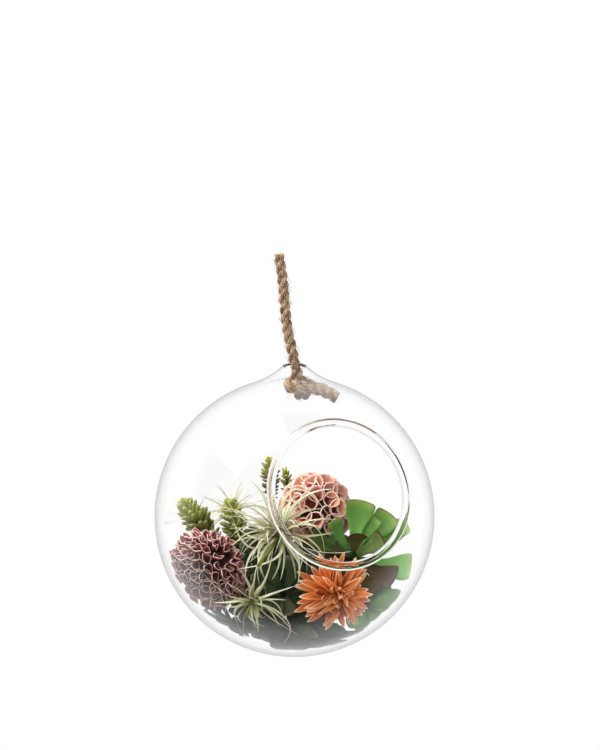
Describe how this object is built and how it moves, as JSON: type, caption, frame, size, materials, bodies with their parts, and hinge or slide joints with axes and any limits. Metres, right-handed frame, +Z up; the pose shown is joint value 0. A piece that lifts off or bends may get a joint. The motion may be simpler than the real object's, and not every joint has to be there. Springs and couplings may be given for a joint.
{
  "type": "hanging glass terrarium",
  "caption": "Blown glass globe with a tilted round side opening, hung on a knotted rope through its neck and filled with dahlias, air plants and succulents.",
  "frame": {"origin": "centre of the rope's top end, where the terrarium is hung", "axes": "+Z up, -Y towards the side that the round opening faces, +X to the right of someone who looks into the opening"},
  "size_m": [0.2, 0.2004, 0.2877],
  "materials": {
    "clear_glass": "clear blown glass",
    "jute": "twisted jute rope",
    "burgundy_petal": "fresh petal, satin",
    "salmon_petal": "fresh petal, satin",
    "orange_petal": "fresh petal, satin",
    "air_leaf": "matt leaf with pale scales",
    "sedum_leaf": "plump leaf, satin",
    "paddle_leaf": "fleshy leaf with a faint bloom",
    "dark_leaf": "thick leaf, satin"
  },
  "bodies": {
    "root": {"glass_globe": "clear_glass", "hanging_rope": "jute", "rope_knot": "jute", "burgundy_dahlia": "burgundy_petal", "salmon_dahlia": "salmon_petal", "orange_dahlia": "orange_petal", "large_air_plant": "air_leaf", "small_air_plant": "air_leaf", "rear_air_plant": "air_leaf", "left_air_plant": "air_leaf", "left_sedum_sprig": "sedum_leaf", "middle_sedum_sprig": "sedum_leaf", "rear_sedum_sprig": "sedum_leaf", "short_sedum_sprig": "sedum_leaf", "paddle_plant": "paddle_leaf", "lower_paddle_plant": "paddle_leaf", "round_leaf_sprig": "dark_leaf", "bottom_rosette": "dark_leaf", "left_leaf_sprig": "dark_leaf"}
  },
  "joints": []
}
